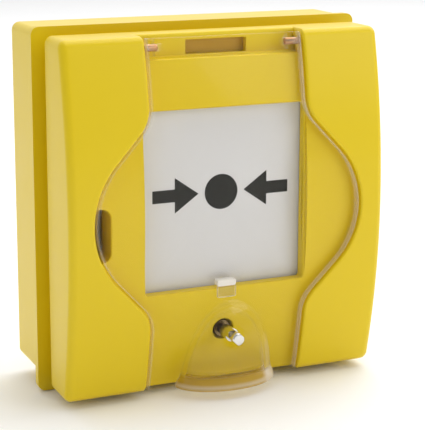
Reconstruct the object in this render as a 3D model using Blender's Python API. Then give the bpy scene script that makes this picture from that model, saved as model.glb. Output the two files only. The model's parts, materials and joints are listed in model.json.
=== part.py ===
"""Manual call point with a hinged clear cover, as an assembly of separate pieces.

Metres, +Z up. The wall is the plane Y = 0 and the front looks along -Y. X = 0 is the middle, and
Z = 0 is half way up the front shell. Depths written as "behind the corner" are measured from the
plane that holds the front shell's four front corners.
"""
import math

import bmesh
import bpy
from mathutils import Matrix, Vector

MM = 0.001

# ---------------------------------------------------------------- driving dimensions, in millimetres
FLANGE_W, FLANGE_H = 89.0, 93.0
BOX_W, BOX_TOP, BOX_BOTTOM = 88.0, 46.0, -42.2
SHELL_W, SHELL_H = 85.2, 89.6
CORNER_R = 2.0

BOX_WALL = 2.5
BOX_FRONT = -15.3            # where the back box ends
FLANGE_BACK = -15.6          # the chassis flange starts here
FLANGE_FRONT = -17.8
SHELL_BACK = -22.9           # the front shell starts here, leaving a shadow groove
CORNER_Y = -33.7             # the front shell's corners
BULGE = 5.7                  # how far the front swells beyond its corners at half height
SHELL_WALL = 2.2
PANEL_WALL = 1.8
RECESS = 3.4                 # the cover lies in a recess of this depth
GAP = 0.35                   # clearance between pieces that only touch

# the vase shape of the recess: a large arc, a straight flank and a small reverse arc
NECK = 21.3
WAIST = 36.2
WAIST_R = 22.0
NECK_R = 9.0
FLANK_DEG = 43.0

WINDOW_W, WINDOW_H, WINDOW_Z = 43.5, 45.9, 3.55
ELEMENT_FRONT = CORNER_Y + 2.0
ELEMENT_T = 2.0
PRESS = 2.5                  # how far the operating element goes in

HINGE_Y, HINGE_Z = CORNER_Y + 2.0, 41.8
BARREL_R, BARREL_HALF = 2.1, 18.0
POCKET_BOTTOM, POCKET_BACK = 38.9, CORNER_Y + 5.5
PIN_R = 0.9
PLAY = 0.1                   # radial clearance of what turns in a hole

COVER_T = 2.0
COVER_SINK = 0.2             # the cover's face lies this much below the wings
COVER_GAP = 0.6
COVER_HALF_H = 44.3

HOOD_TOP, HOOD_HALF_W, HOOD_OUT = -21.8, 12.5, 8.4
HOOD_WALL = 1.6
STUD_Z = -30.9
STUD_R, STUD_TIP = 1.7, CORNER_Y - 9.4

BOARD_BACK, BOARD_T = -19.1, 1.6
LEVER_PIVOT_X, LEVER_PIVOT_Y, LEVER_TIP_X = -7.9, -25.7, 8.0
LEVER_T = 0.5
LEVER_OUT = 3.5              # how far the lever's tip leans out before the element is pressed
LEVER_PIN_R = 0.5
KEY_X, KEY_R, LATCH_Y = 13.0, 2.3, -26.3
SHELL_SCREW_X = 30.0
CHASSIS_SCREW_X, CHASSIS_SCREW_Z = 34.0, (36.0, -32.0)
BOARD_SCREW_X, BOARD_SCREW_Z = 23.0, 3.0

FRONT_R = ((SHELL_H / 2) ** 2 + BULGE ** 2) / (2 * BULGE)      # radius of the swelling front

MATERIALS = {
    "yellow_plastic": ((0.74, 0.52, 0.026), 0.32, 0.0, 1.0),
    "clear_plastic": ((0.95, 0.95, 0.93), 0.05, 0.0, 0.25),
    "white_plastic": ((0.78, 0.78, 0.76), 0.4, 0.0, 1.0),
    "dark_plastic": ((0.03, 0.03, 0.032), 0.5, 0.0, 1.0),
    "grey_plastic": ((0.25, 0.26, 0.27), 0.5, 0.0, 1.0),
    "green_board": ((0.02, 0.17, 0.06), 0.4, 0.0, 1.0),
    "black_rubber": ((0.02, 0.02, 0.02), 0.8, 0.0, 1.0),
    "bright_steel": ((0.72, 0.71, 0.69), 0.22, 1.0, 1.0),
    "brass": ((0.65, 0.44, 0.16), 0.3, 1.0, 1.0),
    "red_lens": ((0.6, 0.03, 0.02), 0.2, 0.0, 1.0),
    "resistor_body": ((0.55, 0.42, 0.26), 0.5, 0.0, 1.0),
}


# ---------------------------------------------------------------- scene, materials and small helpers
def clear_scene():
    for thing in list(bpy.data.objects):
        bpy.data.objects.remove(thing, do_unlink=True)


def material(name):
    """The named finish, made once."""
    if name in bpy.data.materials:
        return bpy.data.materials[name]
    colour, roughness, metallic, alpha = MATERIALS[name]
    made = bpy.data.materials.new(name)
    made.use_nodes = True
    shader = made.node_tree.nodes["Principled BSDF"]
    shader.inputs["Base Color"].default_value = (*colour, 1.0)
    shader.inputs["Roughness"].default_value = roughness
    shader.inputs["Metallic"].default_value = metallic
    shader.inputs["Alpha"].default_value = alpha
    return made


def as_object(name, mesh_data, finish=None, pivot=(0, 0, 0)):
    """A mesh in world millimetres becomes an object in metres whose origin is at pivot."""
    mesh = bpy.data.meshes.new(name)
    mesh_data.transform(Matrix.Translation(-Vector(pivot)))
    mesh_data.transform(Matrix.Scale(MM, 4))
    bmesh.ops.recalc_face_normals(mesh_data, faces=mesh_data.faces)
    mesh_data.to_mesh(mesh)
    mesh_data.free()
    made = bpy.data.objects.new(name, mesh)
    made.location = Vector(pivot) * MM
    bpy.context.scene.collection.objects.link(made)
    if finish:
        mesh.materials.append(material(finish))
        mesh.shade_smooth()
        mesh.set_sharp_from_angle(angle=math.radians(30))
    return made


def loft(rings):
    """A closed body through rings of the same number of points, capped at both ends."""
    body = bmesh.new()
    rows = [[body.verts.new(point) for point in ring] for ring in rings]
    count = len(rows[0])
    for low, high in zip(rows, rows[1:]):
        for i in range(count):
            body.faces.new((low[i], low[(i + 1) % count], high[(i + 1) % count], high[i]))
    body.faces.new(rows[0])
    body.faces.new(reversed(rows[-1]))
    return body


def prism_y(outline, y0, y1):
    """An outline of (x, z) points pushed along Y."""
    return loft([[(x, y, z) for x, z in outline] for y in (y0, y1)])


def prism_x(profile, x0, x1):
    """A profile of (y, z) points pushed along X."""
    return loft([[(x, y, z) for y, z in profile] for x in (x0, x1)])


def block(low, high):
    (x0, y0, z0), (x1, y1, z1) = low, high
    return prism_y([(x0, z0), (x1, z0), (x1, z1), (x0, z1)], y0, y1)


def turned(start, direction, profile, sides=24):
    """A round piece: profile lists (distance along the axis, radius) from one end to the other."""
    along = Vector(direction).normalized()
    turn = along.to_track_quat("Z", "Y").to_matrix()
    rings = []
    for distance, radius in profile:
        centre = Vector(start) + along * distance
        angles = [2 * math.pi * i / sides for i in range(sides)]
        rings.append([centre + turn @ Vector((radius * math.cos(a), radius * math.sin(a), 0)) for a in angles])
    return loft(rings)


def rod(start, direction, length, radius, sides=24):
    return turned(start, direction, [(0, radius), (length, radius)], sides)


def rounded_rectangle(width, height, radius, centre=(0, 0), steps=5):
    """(x, z) points of a rectangle with round corners, anticlockwise."""
    points = []
    for quarter in range(4):
        sx = 1 if quarter in (0, 3) else -1
        sz = 1 if quarter in (0, 1) else -1
        cx, cz = centre[0] + sx * (width / 2 - radius), centre[1] + sz * (height / 2 - radius)
        for i in range(steps + 1):
            angle = math.pi / 2 * (quarter + i / steps)
            points.append((cx + radius * math.cos(angle), cz + radius * math.sin(angle)))
    return points


def cut(target, tool_mesh, operation="DIFFERENCE"):
    """A Boolean modifier on target, with a hidden tool made from tool_mesh."""
    tool = tool_mesh if isinstance(tool_mesh, bpy.types.Object) else as_object("tool", tool_mesh)
    tool.hide_render = True
    tool.display_type = "WIRE"
    step = target.modifiers.new(operation.lower(), "BOOLEAN")
    step.operation = operation
    step.solver = "EXACT"
    step.object = tool
    return target


def join(target, *meshes):
    for mesh in meshes:
        cut(target, mesh, "UNION")
    return target


# ---------------------------------------------------------------- the swelling front and the vase shape
def front_y(z, behind=0.0):
    """Y of the wings' face at height z, moved back by a distance."""
    return CORNER_Y + (FRONT_R - BULGE) - math.sqrt(FRONT_R ** 2 - z ** 2) + behind


def behind_front(behind, half_width, back=-10.0, half_height=50.0, steps=28):
    """Everything behind the swelling front moved back by a distance."""
    heights = [half_height * (2 * i / steps - 1) for i in range(steps + 1)]
    profile = [(front_y(z, behind), z) for z in heights]
    return prism_x(profile + [(back, half_height), (back, -half_height)], -half_width, half_width)


def vase_outline(offset=0.0, half_height=60.0, arc_steps=9, neck_steps=5):
    """(x, z) points of the recess, moved outwards by offset; straight necks run up and down."""
    flank = math.radians(FLANK_DEG)
    big_r = WAIST_R + offset
    small_r = NECK_R - offset
    arc_x = WAIST - WAIST_R
    neck_x = NECK + NECK_R
    run = (arc_x + WAIST_R * math.cos(flank) - (neck_x - NECK_R * math.cos(flank))) / math.sin(flank)
    neck_z = WAIST_R * math.sin(flank) + run * math.cos(flank) + NECK_R * math.sin(flank)
    side = [(NECK + offset, -half_height)]
    for i in range(neck_steps + 1):
        turn = flank * i / neck_steps
        side.append((neck_x - small_r * math.cos(turn), -neck_z + small_r * math.sin(turn)))
    for i in range(-arc_steps, arc_steps + 1):
        turn = flank * i / arc_steps
        side.append((arc_x + big_r * math.cos(turn), big_r * math.sin(turn)))
    for i in range(neck_steps, -1, -1):
        turn = flank * i / neck_steps
        side.append((neck_x - small_r * math.cos(turn), neck_z - small_r * math.sin(turn)))
    side.append((NECK + offset, half_height))
    return side + [(-x, z) for x, z in reversed(side)]


# ---------------------------------------------------------------- back box and what seals it
def make_back_box():
    middle = (0, (BOX_TOP + BOX_BOTTOM) / 2)
    height = BOX_TOP - BOX_BOTTOM
    box = as_object("back_box", prism_y(rounded_rectangle(BOX_W, height, CORNER_R, middle), 0, BOX_FRONT),
                    "yellow_plastic")
    inner = rounded_rectangle(BOX_W - 2 * BOX_WALL, height - 2 * BOX_WALL, 1.5, middle)
    cut(box, prism_y(inner, -BOX_WALL, BOX_FRONT - 1))
    for x in (-CHASSIS_SCREW_X, CHASSIS_SCREW_X):
        for z in CHASSIS_SCREW_Z:
            join(box, rod((x, -BOX_WALL + 0.5, z), (0, -1, 0), 12.6, 3.6, 20))
            cut(box, rod((x, -5.0, z), (0, -1, 0), 12.0, 1.6, 16))
    seat = rounded_rectangle(BOX_W - 2.4, height - 2.4, 1.6, middle)
    cut(box, prism_y(seat, -14.2, BOX_FRONT - 1))
    for x in (-30.0, 30.0):
        cut(box, rod((x, 1, WINDOW_Z), (0, -1, 0), 6, 2.2, 20))
    cut(box, rod((0, 1, -22.0), (0, -1, 0), 6, 8.0, 32))
    return box


def make_box_gasket():
    middle = (0, (BOX_TOP + BOX_BOTTOM) / 2)
    height = BOX_TOP - BOX_BOTTOM
    outer = rounded_rectangle(BOX_W - 3.1, height - 3.1, 1.4, middle)
    gasket = as_object("box_gasket", prism_y(outer, -14.5, BOX_FRONT), "black_rubber")
    inner = rounded_rectangle(BOX_W - 5.0, height - 5.0, 1.2, middle)
    return cut(gasket, prism_y(inner, -13, -17))


def make_cable_grommet():
    """A rubber grommet with a thin skin that the installer cuts for the cable."""
    edge = [(0, 9.6), (1.6, 9.6), (1.6, 7.6), (BOX_WALL + 1.9, 7.6)]
    grommet = as_object("cable_grommet", turned((0, -BOX_WALL - 2.0, -22.0), (0, 1, 0), edge, 32), "black_rubber")
    return cut(grommet, turned((0, -BOX_WALL - 3.0, -22.0), (0, 1, 0), [(0, 5.6), (4.2, 5.0)], 32))


# ---------------------------------------------------------------- chassis and what it carries
def make_chassis():
    chassis = as_object("chassis", prism_y(rounded_rectangle(FLANGE_W, FLANGE_H, CORNER_R), FLANGE_BACK,
                                           FLANGE_FRONT), "yellow_plastic")
    neck_w, neck_h = SHELL_W - 5.6, SHELL_H - 5.6
    neck = as_object("tool", prism_y(rounded_rectangle(neck_w, neck_h, 1.5), FLANGE_FRONT + 0.5, -25.4))
    cut(neck, prism_y(rounded_rectangle(neck_w - 3.6, neck_h - 3.6, 1.0), FLANGE_FRONT + 2, -27))
    join(chassis, neck)
    cut(chassis, prism_y(rounded_rectangle(neck_w - 3.6, neck_h - 3.6, 1.0), FLANGE_FRONT, -27))
    bottom = -neck_h / 2
    for x, half in ((-SHELL_SCREW_X, 4.0), (SHELL_SCREW_X, 4.0), (KEY_X, 5.5)):
        join(chassis, block((x - half, FLANGE_FRONT + 0.5, bottom), (x + half, LATCH_Y - 2.7, bottom + 3.0)))
    for x, radius in ((-SHELL_SCREW_X, 1.5), (SHELL_SCREW_X, 1.5), (KEY_X, KEY_R + PLAY)):
        cut(chassis, rod((x, LATCH_Y, bottom - 1), (0, 0, 1), 5, radius))
    join(chassis, rod((0, FLANGE_FRONT + 0.5, STUD_Z), (0, -1, 0), 13.1, 3.2))
    cut(chassis, rod((0, -22.0, STUD_Z), (0, -1, 0), 12, 1.55, 20))
    for x in (-CHASSIS_SCREW_X, CHASSIS_SCREW_X):
        for z in CHASSIS_SCREW_Z:
            cut(chassis, rod((x, -14, z), (0, -1, 0), 5, 1.7, 16))
    for x in (-BOARD_SCREW_X, BOARD_SCREW_X):
        join(chassis, rod((x, FLANGE_FRONT + 0.5, BOARD_SCREW_Z), (0, -1, 0), 1.45, 2.6, 20))
        cut(chassis, rod((x, -14, BOARD_SCREW_Z), (0, -1, 0), 6, 1.45, 16))
    cut(chassis, block((-9, -14, 12), (9, -19, 17)))
    return chassis


def make_screw(name, seat, direction, head_r, head_h, shank_r, length, finish="bright_steel"):
    """A pan-head screw with a slot. seat is where its head meets the work, direction points into it."""
    along = Vector(direction)
    start = Vector(seat) - along * head_h
    profile = [(0, head_r * 0.72), (head_h * 0.45, head_r), (head_h, head_r), (head_h, shank_r),
               (head_h + length - shank_r * 0.6, shank_r), (head_h + length, shank_r * 0.45)]
    screw = as_object(name, turned(start, along, profile, 20), finish)
    across = Vector((1, 0, 0)) * head_r * 1.4
    up = along.cross(Vector((1, 0, 0))).normalized() * head_r * 0.14
    middle = Vector(seat) - along * head_h * 0.55
    reach = along * head_h
    corners = [middle - reach, middle]
    rings = [[corner - across - up, corner + across - up, corner + across + up, corner - across + up]
             for corner in corners]
    return cut(screw, loft(rings))


def make_screws():
    number = 0
    for x in (-CHASSIS_SCREW_X, CHASSIS_SCREW_X):
        for z in CHASSIS_SCREW_Z:
            number += 1
            make_screw(f"chassis_screw_{number}", (x, FLANGE_FRONT - GAP, z), (0, 1, 0), 2.8, 1.8, 1.25, 11.0)
    for side, x in (("left", -SHELL_SCREW_X), ("right", SHELL_SCREW_X)):
        make_screw(f"shell_screw_{side}", (x, LATCH_Y, -SHELL_H / 2 + 1.2 - GAP), (0, 0, 1), 2.5, 0.8, 1.15, 6.0)
    for side, x in (("left", -BOARD_SCREW_X), ("right", BOARD_SCREW_X)):
        make_screw(f"board_screw_{side}", (x, BOARD_BACK - BOARD_T - GAP, BOARD_SCREW_Z), (0, 1, 0), 2.2, 1.2,
                   1.1, 4.4)


def make_circuit_board():
    board = as_object("circuit_board", block((-26, BOARD_BACK - BOARD_T, -16), (26, BOARD_BACK, 22)), "green_board")
    for x in (-BOARD_SCREW_X, BOARD_SCREW_X):
        cut(board, rod((x, BOARD_BACK + 1, BOARD_SCREW_Z), (0, -1, 0), 4, 1.45, 16))
    return board


def make_terminals():
    """Four screw terminals behind the chassis, open towards the wall and with wire entries below."""
    front, back = FLANGE_BACK + GAP, -6.0
    body = as_object("terminal_block", block((-15, front, -10), (15, back, 2)), "dark_plastic")
    for i in range(4):
        x = -11.25 + 7.5 * i
        cut(body, rod((x, back + 1, -4), (0, -1, 0), 6.5, 2.6, 20))
        cut(body, block((x - 2.2, -13.4, -11), (x + 2.2, -9.0, -3.0)))
        make_screw(f"terminal_screw_{i + 1}", (x, back - 2.6, -4), (0, -1, 0), 2.2, 1.4, 1.2, 3.2)
    return body


def make_board_parts():
    top = BOARD_BACK - BOARD_T - GAP
    dome = [(0, 2.3), (1.0, 2.3), (1.0, 1.9), (3.0, 1.9), (3.8, 1.6), (4.4, 1.0), (4.7, 0.3)]
    as_object("status_led", turned((18, top, 15), (0, -1, 0), dome, 20), "red_lens")
    bead = [(0, 0.3), (2.0, 0.3), (2.0, 1.0), (2.6, 1.25), (3.6, 1.25), (4.0, 1.0), (6.5, 1.0), (6.9, 1.25),
            (7.9, 1.25), (8.5, 1.0), (8.5, 0.3), (10.5, 0.3)]
    as_object("alarm_resistor", turned((-18, top - 1.5, -13.0), (1, 0, 0), bead, 16), "resistor_body")
    header = as_object("wiring_header", block((-9, top - 4.6, 12.5), (9, top, 17.5)), "white_plastic")
    cut(header, block((-8, top - 6, 13.4), (8, top - 1.2, 16.6)))


# ---------------------------------------------------------------- microswitch
def make_microswitch():
    top = BOARD_BACK - BOARD_T - GAP
    body = as_object("microswitch_body", block((-6.3, top - 4.4, 2.0), (6.4, top, 7.8)), "dark_plastic")
    join(body, block((-9.3, top - 1.2, 1.0), (6.9, top - 0.05, 8.8)))
    for z in (1.0, 8.1):
        join(body, block((-9.3, LEVER_PIVOT_Y - 1.1, z), (-6.3, top - 0.5, z + 0.7)))
    cut(body, rod((LEVER_PIVOT_X, LEVER_PIVOT_Y, 0), (0, 0, 1), 10, LEVER_PIN_R + PLAY, 16))
    cut(body, block((-4.0, top - 7, 3.5), (-2.0, top - 2.3, 6.3)))
    as_object("lever_pin", rod((LEVER_PIVOT_X, LEVER_PIVOT_Y, 1.1), (0, 0, 1), 7.6, LEVER_PIN_R, 16), "bright_steel")
    make_switch_lever()
    plunger = block((-3.6, -26.3, 3.9), (-2.4, -24.2, 5.9))
    as_object("switch_plunger", plunger, "white_plastic", pivot=(-3.0, -24.2, 4.9))


def make_switch_lever():
    """A leaf that leans out towards the element, which pushes it nearly flat."""
    lean = math.atan2(LEVER_OUT, LEVER_TIP_X - LEVER_PIVOT_X)
    length = (LEVER_TIP_X - LEVER_PIVOT_X) / math.cos(lean)
    leaf = block((0.6, -LEVER_T / 2, 2.3), (length, LEVER_T / 2, 7.5))
    leaf.transform(Matrix.Rotation(-lean, 4, "Z"))
    pivot = (LEVER_PIVOT_X, LEVER_PIVOT_Y, 0)
    leaf.transform(Matrix.Translation(pivot))
    lever = as_object("switch_lever", leaf, "bright_steel", pivot=pivot)
    join(lever, rod((LEVER_PIVOT_X, LEVER_PIVOT_Y, 2.3), (0, 0, 1), 5.2, 1.1, 20))
    cut(lever, rod((LEVER_PIVOT_X, LEVER_PIVOT_Y, 1), (0, 0, 1), 8, LEVER_PIN_R + PLAY, 16))
    return lever


# ---------------------------------------------------------------- operating element
def make_element():
    outline = rounded_rectangle(45.6, 48.0, 1.0, (0, WINDOW_Z))
    back = ELEMENT_FRONT + ELEMENT_T
    as_object("operating_element", prism_y(outline, ELEMENT_FRONT, back), "white_plastic",
              pivot=(0, back, WINDOW_Z))


def make_element_guide():
    """A frame round the element, on four legs that stand on the chassis."""
    front, back = -31.2, -26.9
    guide = as_object("element_guide", prism_y(rounded_rectangle(49.6, 52.0, 1.2, (0, WINDOW_Z)), front, back),
                      "grey_plastic")
    for x in (-23.4, 23.4):
        for z in (WINDOW_Z - 24.6, WINDOW_Z + 24.6):
            join(guide, rod((x, FLANGE_FRONT - GAP, z), (0, -1, 0), 11.0, 1.3, 16))
    return cut(guide, prism_y(rounded_rectangle(46.4, 48.8, 1.2, (0, WINDOW_Z)), -33, -20))


# ---------------------------------------------------------------- reset key cam
def make_reset_cam():
    """A stem that a test key turns from below, with a lobe inside."""
    bottom = -SHELL_H / 2 + 0.3
    profile = [(0, KEY_R - 0.2), (0.3, KEY_R), (6.2, KEY_R), (6.2, 3.6), (8.2, 3.6)]
    cam = as_object("reset_cam", turned((KEY_X, LATCH_Y, bottom), (0, 0, 1), profile, 24), "dark_plastic",
                    pivot=(KEY_X, LATCH_Y, bottom))
    cut(cam, block((KEY_X - 0.6, LATCH_Y - 1.6, bottom - 1), (KEY_X + 0.6, LATCH_Y + 1.6, bottom + 3.5)))
    return cut(cam, block((KEY_X + 1.0, LATCH_Y - 4, bottom + 6.7), (KEY_X + 4.0, LATCH_Y + 4, bottom + 9)))


# ---------------------------------------------------------------- front shell
def make_front_shell():
    """One moulding: two wings, a vase-shaped recess, a panel with the window, and a hinge pocket."""
    half_w = SHELL_W / 2
    shell = as_object("front_shell", behind_front(0, half_w, back=SHELL_BACK, half_height=SHELL_H / 2),
                      "yellow_plastic")
    cut(shell, prism_y(rounded_rectangle(SHELL_W, SHELL_H, CORNER_R), -10, -60), "INTERSECT")
    edges = shell.modifiers.new("round_edges", "BEVEL")
    edges.width = 1.5 * MM
    edges.segments = 3
    edges.limit_method = "ANGLE"
    edges.angle_limit = math.radians(50)

    recess = as_object("tool", prism_y(vase_outline(), -10, -60))
    cut(recess, behind_front(RECESS, 60), "DIFFERENCE")
    cut(shell, recess)

    cavity_outline = rounded_rectangle(SHELL_W - 2 * SHELL_WALL, SHELL_H - 2 * SHELL_WALL, 1.2)
    cavity = as_object("tool", prism_y(cavity_outline, -10, -60))
    cut(cavity, behind_front(RECESS + PANEL_WALL, 60), "INTERSECT")
    cut(shell, cavity)

    cores = as_object("tool", prism_y(cavity_outline, -10, -60))
    cut(cores, behind_front(SHELL_WALL, 60), "INTERSECT")
    cut(cores, prism_y(vase_outline(SHELL_WALL), 0, -70))
    cut(shell, cores)

    collar = as_object("tool", prism_y(rounded_rectangle(WINDOW_W + 3.2, WINDOW_H + 3.0, 1.6, (0, WINDOW_Z)),
                                       -60, ELEMENT_FRONT - 0.4))
    cut(collar, behind_front(RECESS + 0.9, 60), "INTERSECT")
    join(shell, collar)
    cut(shell, prism_y(rounded_rectangle(WINDOW_W, WINDOW_H, 0.8, (0, WINDOW_Z)), -20, -60))

    pocket_half = NECK - 0.05
    join(shell, block((-NECK - 2, CORNER_Y + 3.2, POCKET_BOTTOM - 1.8),
                      (NECK + 2, POCKET_BACK + 1.8, SHELL_H / 2 - 1.0)))
    cut(shell, block((-pocket_half, -60, POCKET_BOTTOM), (pocket_half, POCKET_BACK, 60)))
    cut(shell, block((-8.2, POCKET_BACK - 2, 39.3), (8.2, -20, 42.9)))
    cut(shell, rod((-NECK - 5, HINGE_Y, HINGE_Z), (1, 0, 0), 2 * NECK + 10, PIN_R + PLAY, 20))

    cut(shell, rod((0, -20, STUD_Z), (0, -1, 0), 20, 2.8))
    notch = rounded_rectangle(5.6, 13.8, 2.7, (-33.2, -2.7))
    cut(shell, prism_y(notch, CORNER_Y - BULGE + RECESS - 0.6, -20))
    for x in (-SHELL_SCREW_X, SHELL_SCREW_X):
        cut(shell, rod((x, LATCH_Y, -50), (0, 0, 1), 10, 1.6, 16))
        cut(shell, rod((x, LATCH_Y, -50), (0, 0, 1), 50 - SHELL_H / 2 + 1.2, 3.0, 20))
    cut(shell, rod((KEY_X, LATCH_Y, -50), (0, 0, 1), 10, KEY_R + PLAY))
    return shell


# ---------------------------------------------------------------- clear cover, its hood and its hinge
def hood_rings(half_width, reach, top, bottom, behind, rows=9, steps=12):
    """Half-elliptic slices that grow from the hood's top to its open bottom. Their flat backs lie
    behind the swelling front by a distance."""
    rings = []
    for i in range(rows + 1):
        share = (0.02 + 0.98 * i / rows)
        z = top + (bottom - top) * min(1.0, share)
        width = half_width * math.sqrt(1 - (1 - share) ** 2)
        base = front_y(z, COVER_SINK)
        out = reach * share ** 0.85
        arc = [math.pi * j / steps for j in range(steps + 1)]
        ring = [(width * math.cos(a), base - out * math.sin(a), z) for a in arc]
        back = front_y(z, behind)
        rings.append([(width, back, z)] + ring + [(-width, back, z)])
    return rings


def make_clear_cover():
    pivot = (0, HINGE_Y, HINGE_Z)
    cover = as_object("clear_cover", prism_y(vase_outline(-COVER_GAP, COVER_HALF_H), -10, -60), "clear_plastic",
                      pivot=pivot)
    cut(cover, behind_front(COVER_SINK, 60), "INTERSECT")
    cut(cover, behind_front(COVER_SINK + COVER_T, 60))
    join(cover, rod((-BARREL_HALF, HINGE_Y, HINGE_Z), (1, 0, 0), 2 * BARREL_HALF, BARREL_R))
    outer = hood_rings(HOOD_HALF_W, HOOD_OUT, HOOD_TOP, -COVER_HALF_H, COVER_SINK + COVER_T - 0.3)
    join(cover, loft(outer))
    inner_top, inner_bottom = HOOD_TOP - HOOD_WALL * 1.3, -COVER_HALF_H - 0.2
    inner = hood_rings(HOOD_HALF_W - HOOD_WALL, HOOD_OUT - HOOD_WALL, inner_top, inner_bottom, 6.0)
    cut(cover, loft(inner))
    for side in (-1, 1):
        start = (side * (BARREL_HALF - 1.8), HINGE_Y, HINGE_Z)
        cut(cover, rod(start, (side, 0, 0), 8, PIN_R + PLAY, 20))
    cut(cover, rod((0, -20, STUD_Z), (0, -1, 0), 40, 3.0))
    return cover


def make_cover_latch():
    """A small clear lug on the cover's inner face that snaps over the window's sill."""
    foot, half, top = -21.9, 2.6, -17.3
    inner = front_y(foot, COVER_SINK + COVER_T + 0.3)
    latch = as_object("cover_latch", block((-half, inner, foot), (half, inner + 0.6, top)), "clear_plastic",
                      pivot=(0, HINGE_Y, HINGE_Z))
    return join(latch, block((-half, inner + 0.2, -18.9), (half, inner + 2.4, top)))


def make_hinge_pins():
    for side, sign in (("left", -1), ("right", 1)):
        start = (sign * (BARREL_HALF - 1.5), HINGE_Y, HINGE_Z)
        ends = [(0, PIN_R * 0.7), (0.3, PIN_R), (6.5, PIN_R), (6.8, PIN_R * 0.7)]
        as_object(f"hinge_pin_{side}", turned(start, (sign, 0, 0), ends, 20), "brass")


# ---------------------------------------------------------------- sealing stud
def make_sealing_stud():
    """A stud with a threaded foot in the chassis post, a collar, and a flattened tip with a cross hole."""
    length = -23.0 - STUD_TIP
    profile = [(0, 0.8), (0.5, 1.2), (7.8, 1.2), (7.8, 2.3), (9.6, 2.3), (9.6, 1.3), (11.6, 1.3), (11.6, STUD_R),
               (length - 0.5, STUD_R), (length, STUD_R * 0.75)]
    stud = as_object("sealing_stud", turned((0, -23.0, STUD_Z), (0, -1, 0), profile, 24), "bright_steel")
    for side in (-1, 1):
        flat = block((side * 1.25, STUD_TIP - 1, STUD_Z - 3), (side * 4.0, STUD_TIP + 4.4, STUD_Z + 3))
        flat.transform(Matrix.Translation((0, 0, -STUD_Z)))
        flat.transform(Matrix.Rotation(math.radians(45), 4, "Y"))
        flat.transform(Matrix.Translation((0, 0, STUD_Z)))
        cut(stud, flat)
    across = Vector((-1, 0, 1)).normalized()
    centre = Vector((0, STUD_TIP + 2.3, STUD_Z))
    return cut(stud, rod(centre - across * 4, across, 8, 1.05, 20))


def main():
    clear_scene()
    make_back_box()
    make_box_gasket()
    make_cable_grommet()
    make_chassis()
    make_screws()
    make_circuit_board()
    make_terminals()
    make_board_parts()
    make_microswitch()
    make_element()
    make_element_guide()
    make_reset_cam()
    make_front_shell()
    make_clear_cover()
    make_cover_latch()
    make_hinge_pins()
    make_sealing_stud()


main()
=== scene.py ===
# %% [markdown]
# # The looks of a manual call point
# A manual call point is the small box on a wall that raises a fire alarm. This one has a yellow
# moulded housing, a vase-shaped clear cover that lifts, and a white element that is pressed in.
# The working model is loaded first as a fixed frame: its pieces already have their real sizes, so
# every new surface takes its place from them. Lengths are in millimetres until a mesh is made.

# %% Load the frame
import json
import math

import bmesh
import bpy
import numpy as np
from mathutils import Euler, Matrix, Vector

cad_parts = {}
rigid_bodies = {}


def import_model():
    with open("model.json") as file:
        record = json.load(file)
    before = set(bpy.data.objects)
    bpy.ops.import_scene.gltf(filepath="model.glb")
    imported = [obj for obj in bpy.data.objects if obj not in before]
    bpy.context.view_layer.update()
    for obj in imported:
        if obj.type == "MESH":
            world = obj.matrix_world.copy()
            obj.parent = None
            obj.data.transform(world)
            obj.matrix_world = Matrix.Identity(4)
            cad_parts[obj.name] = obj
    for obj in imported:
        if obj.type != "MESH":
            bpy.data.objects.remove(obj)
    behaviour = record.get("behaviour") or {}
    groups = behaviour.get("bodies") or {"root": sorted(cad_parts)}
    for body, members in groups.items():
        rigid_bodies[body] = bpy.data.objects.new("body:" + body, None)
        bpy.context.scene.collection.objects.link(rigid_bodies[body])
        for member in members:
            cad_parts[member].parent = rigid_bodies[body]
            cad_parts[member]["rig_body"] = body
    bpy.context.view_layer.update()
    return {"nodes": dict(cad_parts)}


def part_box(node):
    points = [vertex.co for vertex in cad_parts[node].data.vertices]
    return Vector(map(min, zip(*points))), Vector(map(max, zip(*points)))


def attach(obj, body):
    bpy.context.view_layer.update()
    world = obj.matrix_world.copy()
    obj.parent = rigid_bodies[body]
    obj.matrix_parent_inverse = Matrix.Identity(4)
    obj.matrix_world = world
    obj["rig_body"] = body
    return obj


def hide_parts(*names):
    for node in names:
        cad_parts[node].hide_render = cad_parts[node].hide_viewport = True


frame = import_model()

MM = 0.001


def stand(name, data):
    """A new object in the scene that holds the data."""
    made = bpy.data.objects.new(name, data)
    bpy.context.scene.collection.objects.link(made)
    return made


# %% [markdown]
# ## Where things are
# Each node's box gives a low and a high corner. Reading them in one place keeps every later cell
# free of numbers that repeat the working model.

# %% Read the places
def box_mm(node):
    """A node's lowest and highest corner, in millimetres."""
    return [np.array(corner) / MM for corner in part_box(node)]


shell_low, shell_high = box_mm("front_shell")
flange_low, _ = box_mm("chassis")
element_low, element_high = box_mm("operating_element")
HALF_W, HALF_H = shell_high[0], shell_high[2]
SHELL_BACK = shell_high[1]
BULGE = 5.7                      # the front swells this far in front of its four corners
CORNER_Y = shell_low[1] + BULGE
print("shell", shell_low.round(2), shell_high.round(2), "corner plane", round(CORNER_Y, 2))


# %% [markdown]
# ## The camera
# The viewpoint is a little to the left of the front and a little above it. A long lens keeps the
# edges nearly parallel. The lens is shifted down slightly, as a view camera's is, so that upright
# edges stay upright without tilting the camera as far.

# %% Camera
CAMERA_TURN, CAMERA_DOWN, CAMERA_ROLL = 24.09, 12.02, 0.20      # degrees
camera_data = bpy.data.cameras.new("camera")
camera_data.sensor_width = 36.0
camera_data.lens = 122.3
camera_data.shift_y = -0.1
camera_data.clip_start = 0.01
camera = stand("camera", camera_data)
camera.location = Vector((-148.1, -357.6, 85.9)) * MM
turned = Euler((math.radians(90 - CAMERA_DOWN), 0, -math.radians(CAMERA_TURN)), "XYZ").to_quaternion()
rolled = Euler((0, 0, math.radians(CAMERA_ROLL)), "XYZ").to_quaternion()
camera.rotation_mode = "QUATERNION"
camera.rotation_quaternion = turned @ rolled
bpy.context.scene.camera = camera
print("camera at", tuple(round(c, 4) for c in camera.location))


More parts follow.
